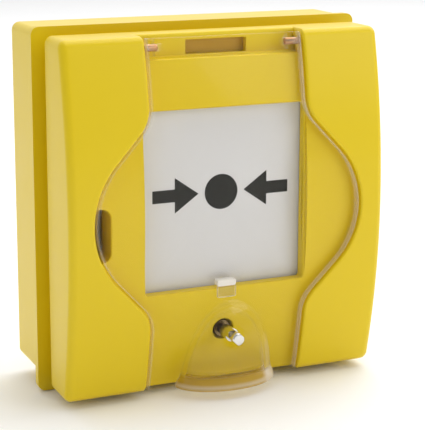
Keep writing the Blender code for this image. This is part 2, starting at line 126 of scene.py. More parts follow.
# %% [markdown]
# ## Light and floor
# The housing is glossy, so what it mirrors matters as much as what lights it. One broad softbox
# hangs overhead, a weak one stands in front on the right, and the surroundings brighten towards the
# back. The left side mirrors that brightness as a pale sheen. The room in front stays darker, which
# keeps the yellow saturated.

# %% Floor, lights and surroundings
def soft_light(name, place, aim, size, power):
    """A softbox at a place, turned to face a point; places and sizes in millimetres, power in watts."""
    lamp = bpy.data.lights.new(name, "AREA")
    lamp.shape = "RECTANGLE"
    lamp.size, lamp.size_y = size[0] * MM, size[1] * MM
    lamp.energy = power
    holder = stand(name, lamp)
    holder.location = Vector(place) * MM
    direction = Vector(aim) * MM - holder.location
    holder.rotation_mode = "QUATERNION"
    holder.rotation_quaternion = direction.to_track_quat("-Z", "Y")


soft_light("overhead_softbox", (330, 200, 640), (100, 140, 0), (950, 1000), 5.7)
soft_light("front_softbox", (420, -520, 300), (0, -20, 0), (420, 420), 1.1)

world = bpy.data.worlds.new("surroundings")
bpy.context.scene.world = world
world.use_nodes = True
sky, link = world.node_tree.nodes, world.node_tree.links.new
outlook, parts, shade = (sky.new("ShaderNode" + kind) for kind in ("TexCoord", "SeparateXYZ", "MapRange"))
shade.interpolation_type = "SMOOTHSTEP"
front_light, back_light = 0.42, 0.95         # strength in front of the unit and behind it
for key, value in (("From Min", -0.7), ("From Max", 0.6), ("To Min", front_light), ("To Max", back_light)):
    shade.inputs[key].default_value = value
link(outlook.outputs["Generated"], parts.inputs[0])
link(parts.outputs["Y"], shade.inputs["Value"])
link(shade.outputs[0], sky["Background"].inputs["Strength"])
sky["Background"].inputs["Color"].default_value = (1.0, 1.0, 1.0, 1.0)
bpy.context.scene.view_settings.view_transform = "Standard"

floor_mesh = bpy.data.meshes.new("floor")
reach, level = 6.0, flange_low[2] * MM - 0.0002      # metres; just below the flange
floor_mesh.from_pydata([(-reach, -reach, level), (reach, -reach, level), (reach, reach, level),
                        (-reach, reach, level)], [], [(0, 1, 2, 3)])
floor = stand("floor", floor_mesh)
paper = bpy.data.materials.new("white_paper")
paper.use_nodes = True
matt = paper.node_tree.nodes["Principled BSDF"].inputs
matt["Base Color"].default_value = (0.97, 0.97, 0.97, 1)
matt["Roughness"].default_value = 0.9
floor_mesh.materials.append(paper)
print("two softboxes and a floor at", round(level, 4), "m")


# %% [markdown]
# ## Writing shaders as sums
# A shader is a graph of small nodes. It reads better as arithmetic, so a Signal wraps one socket
# and an expression such as 0.3 + mask * 0.1 adds the Math nodes. Colours go through Mix nodes.

# %% Signals
class Signal:
    """One output socket of a shader graph, with arithmetic."""

    def __init__(self, paint, socket):
        self.paint, self.socket = paint, socket

    def maths(self, operation, *others, swap=False):
        terms = [self, *others] if not swap else [*others, self]
        values = {i: term for i, term in enumerate(terms)}
        return self.paint.node("ShaderNodeMath", {"operation": operation}, values)

    def __add__(self, other):
        return self.maths("ADD", other)

    def __radd__(self, other):
        return self.maths("ADD", other, swap=True)

    def __sub__(self, other):
        return self.maths("SUBTRACT", other)

    def __mul__(self, other):
        return self.maths("MULTIPLY", other)

    def __pow__(self, other):
        return self.maths("POWER", other)

    def __abs__(self):
        return self.maths("ABSOLUTE")


class Paint:
    """A material made of one Principled shader and whatever feeds it."""

    def __init__(self, name, colour, roughness, metallic=0.0, **fixed):
        self.material = bpy.data.materials.new(name)
        self.material.use_nodes = True
        self.tree = self.material.node_tree
        self.shader = self.tree.nodes["Principled BSDF"]
        self.set("Base Color", (*colour, 1.0))
        self.set("Roughness", roughness)
        self.set("Metallic", metallic)
        for socket, value in fixed.items():
            self.set(socket.replace("_", " "), value)
        self.place = self.node("ShaderNodeTexCoord", output="Object")
        self.material.diffuse_color = (*colour, 1.0)

    def node(self, kind, settings=None, inputs=None, output=0):
        """Any node: its settings first, then the values or signals of its sockets."""
        made = self.tree.nodes.new(kind)
        for key, value in (settings or {}).items():
            setattr(made, key, value)
        for key, value in (inputs or {}).items():
            if isinstance(value, Signal):
                self.tree.links.new(value.socket, made.inputs[key])
            else:
                made.inputs[key].default_value = value
        return Signal(self, made.outputs[output])

    def set(self, socket, value):
        """Sends a value or a signal to one of the shader's sockets."""
        if isinstance(value, Signal):
            self.tree.links.new(value.socket, self.shader.inputs[socket])
        else:
            self.shader.inputs[socket].default_value = value

    def noise(self, scale, detail=3.0, rough=0.5, at=None):
        """Soft random blotches from 0 to 1; scale is in blotches per metre."""
        return self.node("ShaderNodeTexNoise", {}, {"Vector": at or self.place, "Scale": scale,
                                                    "Detail": detail, "Roughness": rough})

    def axis(self, letter):
        """One coordinate of the surface point, in metres."""
        return self.node("ShaderNodeSeparateXYZ", {}, {"Vector": self.place}, output="XYZ".index(letter))

    def band(self, value, low, high, start=0.0, end=1.0):
        """A smooth rise from start to end while value goes from low to high."""
        return self.node("ShaderNodeMapRange", {"interpolation_type": "SMOOTHSTEP"},
                         {"Value": value, "From Min": low, "From Max": high, "To Min": start, "To Max": end})

    def blend(self, mask, first, second):
        """first where mask is 0, second where it is 1; both are colours."""
        made = self.tree.nodes.new("ShaderNodeMix")
        made.data_type = "RGBA"
        self.tree.links.new(mask.socket, made.inputs["Factor"])
        for key, value in ((6, first), (7, second)):
            if isinstance(value, Signal):
                self.tree.links.new(value.socket, made.inputs[key])
            else:
                made.inputs[key].default_value = (*value, 1.0)
        return Signal(self, made.outputs[2])

    def bump(self, height, distance, strength=1.0):
        """Tilts the surface as a relief of that height in metres would."""
        self.set("Normal", self.node("ShaderNodeBump", {}, {"Height": height, "Distance": distance,
                                                             "Strength": strength}))


print("shader arithmetic is ready")


# %% [markdown]
# ## Yellow moulding
# The housing is moulded in one glossy thermoplastic. Its mould was lightly spark-eroded, which
# leaves a grain of a tenth of a millimetre that only shows as a softened reflection. Flow in the
# mould shades the pigment by a few percent over centimetres, and handling leaves faint smears, so
# the roughness varies too.

# %% Yellow plastic
def yellow_plastic(name, deep, bright):
    paint = Paint(name, bright, 0.3, Specular_IOR_Level=0.32, IOR=1.5)
    flow = paint.noise(22.0, detail=2.0)
    smears = paint.noise(95.0, detail=4.0, rough=0.6)
    paint.set("Base Color", paint.blend(flow, deep, bright))
    paint.set("Roughness", 0.25 + smears * 0.12)
    grain = paint.noise(9000.0, detail=1.0)
    ripple = paint.noise(60.0, detail=1.0)
    paint.bump(grain * 0.12 + ripple, 0.00002, 0.6)
    return paint.material


YELLOW = yellow_plastic("yellow_moulding", (0.745, 0.542, 0.005), (0.785, 0.578, 0.009))
# A darker copy of the yellow moulding: painted shade, for the backing seen deep in the hinge slot.
PAINTED_SHADE_YELLOW = yellow_plastic("painted_shade_moulding", (0.53, 0.32, 0.005), (0.57, 0.35, 0.008))
print("made", YELLOW.name, PAINTED_SHADE_YELLOW.name)


# %% [markdown]
# ## Surfaces from grids
# A surface is a table of points: rows one way, columns the other. Neighbouring points make quads.
# Points that fall on each other, as at a pole or a corner, are welded afterwards, so a patch may
# shrink to a point without leaving a hole.

# %% From grid to mesh
def grid_faces(rows, columns, closed):
    """Corner numbers of the quads of a grid that is stored row by row."""
    across = columns if closed else columns - 1
    row = np.arange(rows - 1)[:, None] * columns
    left = np.arange(across)[None, :]
    right = (left + 1) % columns
    quads = np.stack([row + left, row + right, row + columns + right, row + columns + left], axis=-1)
    return quads.reshape(-1, 4)


def weld(mesh):
    """Merges doubled points, and turns the faces of a closed body outwards."""
    work = bmesh.new()
    work.from_mesh(mesh)
    bmesh.ops.remove_doubles(work, verts=work.verts, dist=2e-6)
    bmesh.ops.recalc_face_normals(work, faces=work.faces)
    work.to_mesh(mesh)
    work.free()
    return mesh


def mesh_of(name, *grids):
    """One mesh in metres from several grids of points in millimetres, each (points, closed)."""
    points, faces, start = [], [], 0
    for grid, closed in grids:
        rows, columns = grid.shape[:2]
        points.append(grid.reshape(-1, 3))
        faces.append(grid_faces(rows, columns, closed) + start)
        start += rows * columns
    mesh = bpy.data.meshes.new(name)
    mesh.from_pydata((np.concatenate(points) * MM).tolist(), [], np.concatenate(faces).tolist())
    return weld(mesh)


def piece(mesh, finish, body, stands_for=(), sharp=32.0):
    """A finished piece: smooth but for its sharp edges, riding on a body of the frame."""
    mesh.materials.clear()
    mesh.materials.append(finish)
    mesh.shade_smooth()
    mesh.set_sharp_from_angle(angle=math.radians(sharp))
    made = stand(mesh.name, mesh)
    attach(made, body)
    if stands_for:
        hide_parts(*stands_for)
    print(made.name, len(mesh.polygons), "faces on", body)
    return made


def applied(work, helpers=()):
    """The mesh that an object's modifiers make, under its old name; the objects are thrown away."""
    bpy.context.view_layer.update()
    result = bpy.data.meshes.new_from_object(work.evaluated_get(bpy.context.evaluated_depsgraph_get()))
    source = work.data
    name = source.name
    for thing in (work, *helpers):
        bpy.data.objects.remove(thing)
    bpy.data.meshes.remove(source)
    result.name = name
    return result


def carve(mesh, *steps):
    """The mesh after a chain of exact Booleans, each (operation, other mesh)."""
    work, helpers = stand("work", mesh), []
    for operation, other in steps:
        helpers.append(stand("helper", other))
        step = work.modifiers.new(operation, "BOOLEAN")
        step.operation, step.solver, step.object = operation, "EXACT", helpers[-1]
    return applied(work, helpers)


def at_depth(flat, depth):
    """Points (x, z) as (x, y, z), where y is one depth or a depth for each point."""
    flat = np.asarray(flat, float)
    return np.stack([flat[..., 0], np.broadcast_to(depth, flat.shape[:-1]), flat[..., 1]], -1)


print("grid tools are ready")


# %% [markdown]
# ## The two curves behind the shape
# Seen from the side, the front is an arc of a large circle. Seen from the front, the recess for
# the cover has the outline of a vase: straight necks, small arcs, straight flanks and one large
# arc on each side. Both are written once, and every moulding and the cover are measured off them.

# %% The swelling front and the vase
FRONT_R = (HALF_H ** 2 + BULGE ** 2) / (2 * BULGE)
NECK, WAIST, WAIST_R, NECK_R = 21.3, 36.2, 22.0, 9.0
FLANK = math.radians(43.0)
RECESS = 3.4


def front_y(z):
    """Depth of the wings' face at height z: an arc through the four corners and the crown."""
    return CORNER_Y + (FRONT_R - BULGE) - np.sqrt(FRONT_R ** 2 - np.asarray(z, float) ** 2)


def vase_curve(half_height, offset=0.0):
    """Points (x, z) and outward normals up the right side of the vase, moved outwards by offset.

    From below: a vertical line, an arc of the neck's radius that turns through the flank angle, a
    straight flank, and the large arc, which is mirrored for the upper half."""
    arc_x, neck_x = WAIST - WAIST_R, NECK + NECK_R
    run = (arc_x + WAIST_R * math.cos(FLANK) - neck_x + NECK_R * math.cos(FLANK)) / math.sin(FLANK)
    neck_z = WAIST_R * math.sin(FLANK) + run * math.cos(FLANK) + NECK_R * math.sin(FLANK)
    line = np.linspace(-half_height, -neck_z, 9)[:-1]
    turn = np.linspace(0, FLANK, 15)
    inner_r = NECK_R - offset
    neck = np.stack([neck_x - inner_r * np.cos(turn), -neck_z + inner_r * np.sin(turn)], 1)
    bend = np.linspace(-FLANK, 0, 29)
    waist = np.stack([arc_x + (WAIST_R + offset) * np.cos(bend), (WAIST_R + offset) * np.sin(bend)], 1)
    flank = neck[-1] + (waist[0] - neck[-1]) * np.linspace(0, 1, 7)[1:-1, None]
    lower = np.concatenate([np.stack([np.full(line.size, NECK + offset), line], 1), neck, flank, waist])
    angle = np.concatenate([np.zeros(line.size), -turn, np.full(len(flank), -FLANK), bend])
    normal = np.stack([np.cos(angle), np.sin(angle)], 1)
    upper, upper_normal = lower[-2::-1] * (1, -1), normal[-2::-1] * (1, -1)
    return np.concatenate([lower, upper]), np.concatenate([normal, upper_normal])


def vase_half(z, offset=0.0):
    """Half the vase's width at height z."""
    points, _ = vase_curve(HALF_H + 20, offset)
    return np.interp(z, points[:, 1], points[:, 0])


print("front radius", round(FRONT_R, 1), "mm; vase half width at mid height", vase_half(0.0).round(2), "mm")


# %% [markdown]
# ## Wings
# A wing is a thin moulded shell: a face on the swelling arc, round edges, side walls down to the
# shadow groove, and a wall that follows the vase. The face is a grid between the vase and the
# straight side. Round its border runs a second grid whose rows are the quarter turn of the edge,
# the wall, the rim and the inner wall. Corners use a quarter of an ellipse, because the outer edge
# is rounded more than the edge along the vase.

# %% Build a wing
EDGE_R, EDGE_IN, VASE_EDGE = 1.7, 2.0, 0.55
WALL, PANEL_WALL = 2.2, 1.8


def wing_field(vase_in, side_in, end_in, columns=29):
    """Grid (rows, columns, 2) of (x, z) between the vase, moved outwards, and the straight side."""
    left, normal = vase_curve(HALF_H - end_in, vase_in)
    share = np.linspace(0, 1, columns)[None, :, None] ** 0.9
    right = np.stack([np.full(len(left), HALF_W - side_in), left[:, 1]], 1)
    return left[:, None] * (1 - share) + right[:, None] * share, normal


def border(field):
    """The grid's outer points in order: up the left side, right, down, and back left."""
    return [field[:, 0], field[-1, :], field[::-1, -1], field[0, ::-1]]


def wing(side):
    """The moulded shell on the right (side 1) or on the left (side -1) of the vase."""
    field, normal = wing_field(VASE_EDGE, EDGE_IN, EDGE_IN)
    inner_field, _ = wing_field(WALL, WALL, WALL)
    quarter = np.linspace(0, math.pi / 2, 9)
    sides, inner_sides = border(field), border(inner_field)
    reach_out = [-normal * VASE_EDGE, (0, EDGE_IN), (EDGE_IN, 0), (0, -EDGE_IN)]
    depths, feet = [VASE_EDGE, EDGE_R, EDGE_R, EDGE_R], [1.0, 0.0, 0.0, 0.0]
    ring, out, depth, foot, inner = [], [], [], [], []
    for i in range(4):
        count = len(sides[i])
        ring.append(sides[i])
        out.append(np.broadcast_to(reach_out[i], (count, 2)))
        depth.append(np.full(count, depths[i]))
        foot.append(np.full(count, feet[i]))
        inner.append(inner_sides[i])
        turn = quarter[1:-1, None]
        after = (i + 1) % 4
        last = out[-1][-1]
        following = np.asarray(reach_out[after])
        following = following[0] if following.ndim > 1 else following
        ring.append(np.repeat(sides[i][-1:], len(turn), 0))
        out.append(last * np.cos(turn) + following * np.sin(turn))
        share = np.sin(turn[:, 0]) ** 2
        depth.append(depths[i] * (1 - share) + depths[after] * share)
        foot.append(feet[i] * (1 - share) + feet[after] * share)
        inner.append(np.repeat(inner_sides[i][-1:], len(turn), 0))
    ring, out, inner = (np.concatenate(part) for part in (ring, out, inner))
    depth, foot = np.concatenate(depth), np.concatenate(foot)

    rows = []
    for turn in np.linspace(0, math.pi / 2, 9):
        flat = ring + out * math.sin(turn)
        rows.append(at_depth(flat, front_y(flat[:, 1]) + depth * (1 - math.cos(turn))))
    edge = ring + out
    low = np.where(foot > 0.97, front_y(edge[:, 1]) + RECESS + PANEL_WALL - 0.2, SHELL_BACK)
    rows += [at_depth(edge, low), at_depth(inner, low), at_depth(inner, front_y(inner[:, 1]) + WALL)]
    face = at_depth(field, front_y(field[..., 1]))
    lining = at_depth(inner_field, front_y(inner_field[..., 1]) + WALL)
    grids = [(face, False), (np.stack(rows), True), (lining, False)]
    return mesh_of("wing", *[(grid * (side, 1, 1), closed) for grid, closed in grids])


wings = {side: wing(side) for side in (-1, 1)}
print("wings:", [len(mesh.polygons) for mesh in wings.values()], "faces")


# %% [markdown]
# ## Middle of the shell
# Between the wings the moulding steps back: a bottom wall, the curved panel, the floor and back
# wall of the hinge pocket, and a top wall. One side profile holds them all, carried across from
# wing to wing, with its width read off the vase. The window's tunnel is joined to it, and then the
# window, the slot, the stud's hole and the finger notch are cut with flared cutters, which leave
# moulded round edges instead of knife edges. The holes underneath take the two screws and a key.

# %% Side profile of the middle
POCKET_FLOOR, POCKET_BACK = 38.9, CORNER_Y + 5.5
JOIN = 0.02                      # keeps the middle off the wings' planes, so the two join cleanly


def arc(centre, radius, start, end, count=7):
    """Points (y, z) on an arc; angles in degrees, 0 along +Y and 90 along +Z."""
    angle = np.radians(np.linspace(start, end, count))
    return np.stack([centre[0] + radius * np.cos(angle), centre[1] + radius * np.sin(angle)], 1)


def middle_profile(sink):
    """The skin of the middle in (y, z) from the bottom wall to the top wall, moved in by sink."""
    outer, lip, nook = max(0.9 - sink, 0.02), max(0.5 - sink, 0.02), 0.5 + sink
    base_z, top_z, floor_z = -HALF_H + JOIN + sink, HALF_H - JOIN - sink, POCKET_FLOOR - sink
    skin = RECESS + sink
    heights = np.linspace(base_z + outer, floor_z - lip, 90)
    face = np.stack([front_y(heights) + skin, heights], 1)
    base_y, lip_y = face[0, 0] + outer, face[-1, 0] + lip
    back_y = POCKET_BACK + sink
    return np.concatenate([
        [(SHELL_BACK - JOIN, base_z)],
        arc((base_y, base_z + outer), outer, 270, 180),
        face,
        arc((lip_y, floor_z - lip), lip, 180, 90),
        arc((back_y - nook, floor_z + nook), nook, 270, 360),
        arc((back_y + outer, top_z - outer), outer, 180, 90),
        [(SHELL_BACK - JOIN, top_z)]])


def middle():
    skin, lining = middle_profile(0.0), middle_profile(PANEL_WALL)
    loop = np.concatenate([skin, lining[::-1]])
    overlap = 1.0                # how far the middle runs on into the wings' walls
    x = (vase_half(loop[:, 1]) + overlap)[:, None] * np.linspace(-1, 1, 61)
    sheet = np.stack([x, *(np.broadcast_to(loop[:, i:i + 1], x.shape) for i in (0, 1))], 2)
    closed = np.concatenate([sheet, sheet[:1]])
    ends = [np.stack([closed[:len(skin), i], closed[len(skin):2 * len(skin), i][::-1]]) for i in (0, -1)]
    return mesh_of("front_moulding", (closed, False), *[(end, False) for end in ends])


front_body = middle()
print("middle of the shell:", len(front_body.polygons), "faces")


# %% Outlines and flared cutters
def rounded_outline(width, height, radius, centre=(0.0, 0.0), steps=8):
    """(x, z) points of a rectangle with round corners, anticlockwise, and their outward normals."""
    angle = np.concatenate([np.linspace(0, math.pi / 2, steps) + i * math.pi / 2 for i in range(4)])
    normal = np.stack([np.cos(angle), np.sin(angle)], 1)
    sign = np.repeat([(1, 1), (-1, 1), (-1, -1), (1, -1)], steps, 0)
    corner = sign * (width / 2 - radius, height / 2 - radius) + np.array(centre)
    return corner + normal * radius, normal


def round_outline(radius, centre, count=64):
    """(x, z) points of a circle and their normals."""
    angle = np.arange(count) * 2 * math.pi / count
    normal = np.stack([np.cos(angle), np.sin(angle)], 1)
    return np.array(centre) + normal * radius, normal


def capped(rows):
    """Closes a stack of rings with a fan at each end, each shrunk to its middle."""
    rows = np.asarray(rows)
    ends = [np.repeat(rows[i].mean(0)[None, None], rows.shape[1], 1) for i in (0, -1)]
    return np.concatenate([ends[0], rows, ends[1]])


def flared_cutter(outline, surface, radius, end_y):
    """A cutter whose mouth opens by a quarter turn of that radius where it meets the surface."""
    points, normal = outline
    rows = [(radius, -3.0)]
    rows += [(radius * (1 - math.sin(turn)), radius * (1 - math.cos(turn)))
             for turn in np.linspace(0, math.pi / 2, 6)]
    wider = [(points + normal * out, depth) for out, depth in rows]
    rings = [at_depth(flat, surface(flat[:, 1]) + depth) for flat, depth in wider]
    rings.append(at_depth(points, end_y))
    return mesh_of("cutter", (capped(rings), True))


def straight_block(outline, near, far):
    """An outline pushed along Y between two depths, each a number or a function of height."""
    points, _ = outline
    rings = [at_depth(points, depth(points[:, 1]) if callable(depth) else depth) for depth in (near, far)]
    return mesh_of("block", (capped(rings), True))


def box_block(low, high, degrees=0.0, centre=(0.0, 0.0)):
    """A box between two corners, turned by an angle about a line along Y through centre, in (x, z)."""
    (x0, y0, z0), (x1, y1, z1) = low, high
    sine, cosine = math.sin(math.radians(degrees)), math.cos(math.radians(degrees))
    turn = np.array([(cosine, sine), (-sine, cosine)])
    flat = np.array([(x0, z0), (x1, z0), (x1, z1), (x0, z1)]) @ turn + centre
    return mesh_of("block", (capped([at_depth(flat, y) for y in (y0, y1)]), True))


def turned_solid(name, start, direction, profile, count=64):
    """A round solid: profile is a list of (distance, radius) from one end to the other."""
    along = np.array(direction, float)
    side = np.array((0, 0, 1.0)) if abs(along[2]) < 0.9 else np.array((1.0, 0, 0))
    side = np.cross(along, side)
    side /= np.linalg.norm(side)
    other = np.cross(along, side)
    angle = np.arange(count) * 2 * math.pi / count
    profile = np.array(profile, float)
    round_part = np.cos(angle)[:, None] * side + np.sin(angle)[:, None] * other
    rings = np.array(start) + profile[:, :1, None] * along + profile[:, 1:, None] * round_part[None]
    return mesh_of(name, (capped(rings), True))


print("cutters are ready")


# %% Cut the middle and join the wings
ELEMENT_FRONT = element_low[1]
WINDOW_Z = (element_low[2] + element_high[2]) / 2
WINDOW_W, WINDOW_H = 43.5, 45.9
STUD_Z = -30.9
HINGE_Y, HINGE_Z = CORNER_Y + 2.0, 41.8
KEY_X, KEY_R = 13.0, 2.4
PIN_R, PIN_PLAY = 0.9, 0.1
LOWER_Y, SCREW_X = (sum(box_mm("shell_screw_right")) / 2)[[1, 0]]
BELOW = -50.0                    # cutters from below start at this height and end 12 mm higher
MOUTH = -HALF_H - BELOW          # how far along them the shell begins


def panel_y(z):
    return front_y(z) + RECESS


def pocket_y(z):
    return np.full(np.shape(z), POCKET_BACK)


def inside_panel(z):
    return panel_y(z) + PANEL_WALL / 2


def hole_from_below(x, profile):
    return turned_solid("hole", (x, LOWER_Y, BELOW), (0, 0, 1), profile, 48)


window = rounded_outline(WINDOW_W, WINDOW_H, 0.8, (0, WINDOW_Z))
tunnel = rounded_outline(WINDOW_W + 3.2, WINDOW_H + 3.0, 1.6, (0, WINDOW_Z))
slot = rounded_outline(16.4, 3.6, 0.35, (0, 41.1))
notch = rounded_outline(5.0, 13.4, 2.4, (-33.5, -2.8))
notch_wall = rounded_outline(7.0, 15.4, 3.4, (-33.5, -2.8))
stud_hole = round_outline(2.8, (0, STUD_Z))
key_hole = hole_from_below(KEY_X, [(0, KEY_R + 0.3), (MOUTH, KEY_R + 0.3), (MOUTH + 0.3, KEY_R), (12, KEY_R)])
screw_holes = [hole_from_below(x, [(0, 3.2), (MOUTH, 3.2), (MOUTH + 0.2, 3.0), (MOUTH + 1.2, 3.0),
                                   (MOUTH + 1.2, 1.6), (12, 1.6)]) for x in (-SCREW_X, SCREW_X)]
pin_tunnel = turned_solid("hole", (-26, HINGE_Y, HINGE_Z), (1, 0, 0),
                          [(0, PIN_R + PIN_PLAY), (52, PIN_R + PIN_PLAY)], 40)
# The key hole is cut before the wings are joined, and the joins come before the holes in the wings.
front_body = carve(
    front_body,
    ("UNION", straight_block(tunnel, inside_panel, ELEMENT_FRONT - 0.4)),
    ("UNION", straight_block(notch_wall, inside_panel, CORNER_Y + 4.5)),
    *[("DIFFERENCE", flared_cutter(outline, surface, flare, -20.0)) for outline, surface, flare in
      ((window, panel_y, 0.45), (slot, pocket_y, 0.2), (notch, panel_y, 0.35), (stud_hole, panel_y, 0.3))],
    ("DIFFERENCE", key_hole), ("UNION", wings[-1]), ("UNION", wings[1]), ("DIFFERENCE", pin_tunnel),
    *[("DIFFERENCE", hole) for hole in screw_holes])
piece(front_body, YELLOW, "base", ["front_shell"])

# A strip just behind the slot, in the darker copy of the yellow: painted shade for the cavity seen through
# the slot.
behind_slot = POCKET_BACK + PANEL_WALL + 0.3
painted_shade_backing = straight_block(rounded_outline(19.0, 3.6, 0.3, (0, 40.9)), behind_slot, behind_slot + 0.5)
painted_shade_backing.name = "painted_shade_backing"
piece(painted_shade_backing, PAINTED_SHADE_YELLOW, "base")


# %% [markdown]
# ## Copies with softened edges
# Some mouldings only need what a mould gives anyway: a small radius on every edge. A copy of the
# working piece has its loose triangles welded and its flat faces merged, and a Bevel modifier then
# rounds each edge sharper than a set angle. Normals are weighted by area, so that large faces stay
# flat. The original stays hidden for its collision shape.

# %% Softened copies
def softened(node, finish, width=0.3, segments=2):
    """A welded copy of a node with every sharp edge rounded by width, in millimetres."""
    mesh = frame["nodes"][node].data.copy()
    mesh.name = "soft_" + node
    work = bmesh.new()
    work.from_mesh(mesh)
    bmesh.ops.remove_doubles(work, verts=work.verts, dist=2e-6)
    bmesh.ops.dissolve_limit(work, angle_limit=math.radians(0.5), verts=work.verts, edges=work.edges)
    work.to_mesh(mesh)
    work.free()
    mesh.shade_smooth()
    holder = stand("work", mesh)
    bevel = holder.modifiers.new("edges", "BEVEL")
    bevel.width, bevel.segments = width * MM, segments
    bevel.limit_method, bevel.angle_limit = "ANGLE", math.radians(40)
    flat = holder.modifiers.new("flat faces", "WEIGHTED_NORMAL")
    flat.mode, flat.weight, flat.keep_sharp = "FACE_AREA", 100, False
    piece(applied(holder), finish, frame["nodes"][node]["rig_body"], [node], sharp=50)


softened("back_box", YELLOW, 0.45, 3)
softened("chassis", YELLOW, 0.45, 3)


# %% [markdown]
# ## Press element and its print
# The element is a flat white slab behind the window. Two arrows point at a dot: the sign for
# "press here". They are printed in dark grey ink, so each is a film a few hundredths of a
# millimetre thick with an edge that the light doesn't catch. The slab is satin, because a glossy
# one would hide the sign behind a reflection.

# %% Finishes of the element
def white_plastic():
    paint = Paint("white_satin", (0.66, 0.66, 0.655), 0.42, Specular_IOR_Level=0.4)
    cloud = paint.noise(45.0, detail=2.0)
    paint.set("Base Color", paint.blend(cloud, (0.68, 0.68, 0.705), (0.73, 0.73, 0.755)))
    paint.set("Roughness", 0.38 + paint.noise(400.0, detail=3.0) * 0.12)
    paint.bump(paint.noise(6000.0, detail=1.0), 0.00001, 0.4)
    return paint.material


def print_ink():
    paint = Paint("dark_ink", (0.022, 0.022, 0.020), 0.55, Specular_IOR_Level=0.2)
    dots = paint.noise(3000.0, detail=2.0)
    paint.set("Base Color", paint.blend(dots, (0.016, 0.016, 0.014), (0.028, 0.028, 0.025)))
    paint.set("Roughness", 0.5 + paint.noise(700.0) * 0.15)
    return paint.material


WHITE, INK = white_plastic(), print_ink()
print("made", WHITE.name, INK.name)


# %% The slab and its sign
def slab(name, outline, near, far, edge, steps=4, inner=0.0):
    """A flat plate between two depths whose long edges are quarter turns of radius edge.

    inner adds a ring to each face, that far inside the rounding."""
    points, normal = outline
    turns = np.linspace(0, math.pi / 2, steps + 1)
    insets = [(edge * (1 - math.sin(turn)), edge * (1 - math.cos(turn))) for turn in turns]
    if inner:
        insets.insert(0, (edge + inner, 0.0))
    rings = [at_depth(points - normal * inset, near + depth) for inset, depth in insets]
    rings += [ring * (1, -1, 1) + (0, near + far, 0) for ring in rings[::-1]]
    return mesh_of(name, (capped(rings), True))


def polygon_outline(corners, radius=0.12, steps=4):
    """(x, z) corners, anticlockwise, with small round corners, and normals of each point."""
    corners = np.array(corners, float)
    before, after = np.roll(corners, 1, 0), np.roll(corners, -1, 0)
    arrive = (corners - before) / np.linalg.norm(corners - before, axis=1)[:, None]
    leave = (after - corners) / np.linalg.norm(after - corners, axis=1)[:, None]
    share = np.linspace(0, 1, steps)[None, :, None]
    start, end = (corners - arrive * radius)[:, None], (corners + leave * radius)[:, None]
    bend = start * (1 - share) ** 2 + 2 * corners[:, None] * share * (1 - share) + end * share ** 2
    along = (arrive[:, None] * (1 - share) + leave[:, None] * share)
    along /= np.linalg.norm(along, axis=2)[..., None]
    normal = np.stack([along[..., 1], -along[..., 0]], 2)
    return bend.reshape(-1, 2), normal.reshape(-1, 2)


element_w, _, element_h = element_high - element_low
element_outline = rounded_outline(element_w, element_h, 1.0, (0, WINDOW_Z))
piece(slab("press_element", element_outline, ELEMENT_FRONT, element_high[1], 0.3), WHITE, "element",
      ["operating_element"])

SIGN_Z, DOT_R = 4.7, 4.5


def arrow(side):
    """Outline of an arrow whose tip points at the dot from one side."""
    tail, neck, tip, bar, head = 18.6, 12.6, 6.2, 1.6, 4.5
    corners = [(-tail, -bar), (-neck, -bar), (-neck, -head), (-tip, 0), (-neck, head), (-neck, bar),
               (-tail, bar)]
    if side > 0:
        corners = [(-x, z) for x, z in reversed(corners)]
    return polygon_outline([(x, z + SIGN_Z) for x, z in corners])


def flat_film(name, outline):
    """A film of ink with a face that is one polygon, because its outline isn't convex."""
    points, _ = outline
    near, far = ELEMENT_FRONT - 0.05, ELEMENT_FRONT + 0.15
    count = len(points)
    here = np.arange(count)
    after = (here + 1) % count
    sides = np.stack([after, here, here + count, after + count], 1)
    corners = np.concatenate([at_depth(points, near), at_depth(points, far)]) * MM
    mesh = bpy.data.meshes.new(name)
    mesh.from_pydata(corners.tolist(), [], [here.tolist(), (here + count)[::-1].tolist(), *sides.tolist()])
    return weld(mesh)


for label, outline in (("arrow_left", arrow(-1)), ("arrow_right", arrow(1)),
                       ("press_dot", round_outline(DOT_R, (0, SIGN_Z), 96))):
    piece(flat_film(label, outline), INK, "element")


# %% [markdown]
# ## Clear cover
# The cover is polished clear plastic, two millimetres thick. It is nearly invisible face on: what
# shows is its outline, where light runs along the cut edge, and the hood, where the surface turns
# away from the eye. Refraction is left out because the two faces are parallel and would bend the
# view back again. The finish lets light straight through and adds a mirror layer that grows
# towards grazing angles. Three attributes steer it: painted edge light, high on edges and lips,
# where the light and shade seen in the plastic's depth are painted in as a denser colour; painted
# yellow reflection, how much of the housing's yellow that colour takes; and gloss, which scales
# the mirror layer.

